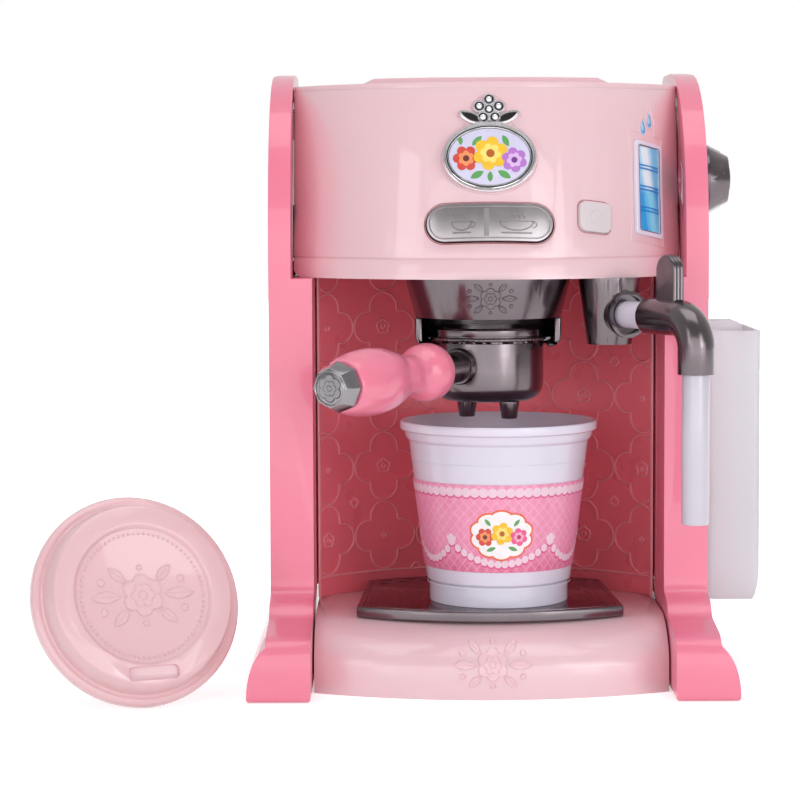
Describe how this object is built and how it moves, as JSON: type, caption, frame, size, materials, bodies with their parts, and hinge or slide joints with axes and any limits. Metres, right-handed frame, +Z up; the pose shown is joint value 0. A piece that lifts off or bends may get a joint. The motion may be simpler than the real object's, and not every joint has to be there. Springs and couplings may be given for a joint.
{
  "type": "toy coffee maker",
  "caption": "Pink play espresso machine with lock-in portafilter, swinging steam wand, drip tray, lift-off water tank, cup and lid.",
  "frame": {"origin": "on the floor, in the middle of the machine's own footprint (the loose lid stands outside it)", "axes": "+X to the machine's right as seen from its front, +Y to its back, +Z up"},
  "size_m": [0.3198, 0.2143, 0.272],
  "materials": {
    "light_pink": "gloss moulded",
    "wall_pink": "gloss moulded",
    "hot_pink": "gloss moulded",
    "silver": "silver painted plastic",
    "plated": "vacuum plated plastic",
    "lavender": "satin moulded",
    "tank": "translucent moulded",
    "print": "printed label",
    "gauge_blue": "gloss",
    "button_pink": "satin moulded",
    "steel": "zinc plated",
    "cell_wrap": "gloss wrap",
    "board": "solder mask",
    "dark": "matt"
  },
  "bodies": {
    "root": {"base_shell": "light_pink", "bottom_cover": "light_pink", "battery_door": "light_pink", "battery_cells": "cell_wrap", "battery_contacts": "steel", "left_panel": "hot_pink", "right_panel": "hot_pink", "head_shell": "light_pink", "top_cover": "light_pink", "head_floor": "light_pink", "back_wall": "wall_pink", "rear_cover": "light_pink", "brew_head": "silver", "brew_head_nut": "silver", "lock_collar": "silver", "steam_head": "silver", "steam_head_nut": "silver", "badge_frame": "plated", "badge_disc": "print", "gauge_frame": "lavender", "gauge_tube": "gauge_blue", "circuit_board": "board", "speaker": "dark", "rear_screws": "steel", "bottom_screws": "steel", "tank_rail": "hot_pink", "rocker_springs": "steel", "light_spring": "steel"},
    "rocker": {"rocker_button": "silver"},
    "light": {"light_button": "button_pink"},
    "knob": {"steam_knob": "silver", "knob_cap": "silver", "knob_screw": "steel"},
    "switch": {"power_switch": "lavender"},
    "basket": {"filter_basket": "silver"},
    "portafilter": {"portafilter_bowl": "silver", "bead_ring": "silver", "portafilter_spouts": "silver", "handle_stub": "silver", "handle_grip": "hot_pink", "handle_cap": "plated"},
    "steam_arm": {"steam_tube": "lavender", "steam_elbow": "silver", "steam_wand": "lavender"},
    "tray": {"drip_tray": "silver", "tray_grille": "silver"},
    "cup": {"cup": "lavender", "cup_sleeve": "print"},
    "lid": {"cup_lid": "light_pink"},
    "tank": {"water_tank": "tank"}
  },
  "joints": [
    {"name": "rocker_tilt", "type": "hinge", "parent": "root", "child": "rocker", "pos_m": [0, -0.0421, 0.20231], "axis": [0, 0.2419, 0.9703], "range_deg": [-3, 3], "stiffness_Nm_per_rad": 0.4, "deforming": ["rocker_springs"]},
    {"name": "light_press", "type": "slide", "parent": "root", "child": "light", "axis": [-0.454, 0.8645, -0.2156], "range_m": [0, 0.0012], "stiffness_N_per_m": 300, "deforming": ["light_spring"]},
    {"name": "knob_turn", "type": "hinge", "parent": "root", "child": "knob", "pos_m": [0.0975, 0, 0.2225], "axis": [1, 0, 0], "continuous": true},
    {"name": "switch_slide", "type": "slide", "parent": "root", "child": "switch", "axis": [1, 0, 0], "range_m": [0, 0.004]},
    {"name": "portafilter_slide", "type": "slide", "parent": "root", "child": "basket", "axis": [0, -1, 0], "range_m": [0, 0.08]},
    {"name": "portafilter_twist", "type": "hinge", "parent": "basket", "child": "portafilter", "pos_m": [0, -0.02, 0.14], "axis": [0, 0, 1], "range_deg": [0, 33]},
    {"name": "wand_swing", "type": "hinge", "parent": "root", "child": "steam_arm", "pos_m": [0.0535, -0.028, 0.1635], "axis": [0.515, -0.8572, 0], "range_deg": [-25, 25]},
    {"name": "tray_slide", "type": "slide", "parent": "root", "child": "tray", "axis": [0, -1, 0], "range_m": [0, 0.09]},
    {"name": "cup_slide", "type": "slide", "parent": "tray", "child": "cup", "axis": [0, -1, 0], "range_m": [0, 0.11]},
    {"name": "tank_lift", "type": "slide", "parent": "root", "child": "tank", "axis": [0, 0, 1], "range_m": [0, 0.032]},
    {"name": "lid_lift", "type": "slide", "parent": "root", "child": "lid", "axis": [0, 0, 1], "range_m": [0, 0.05]}
  ]
}
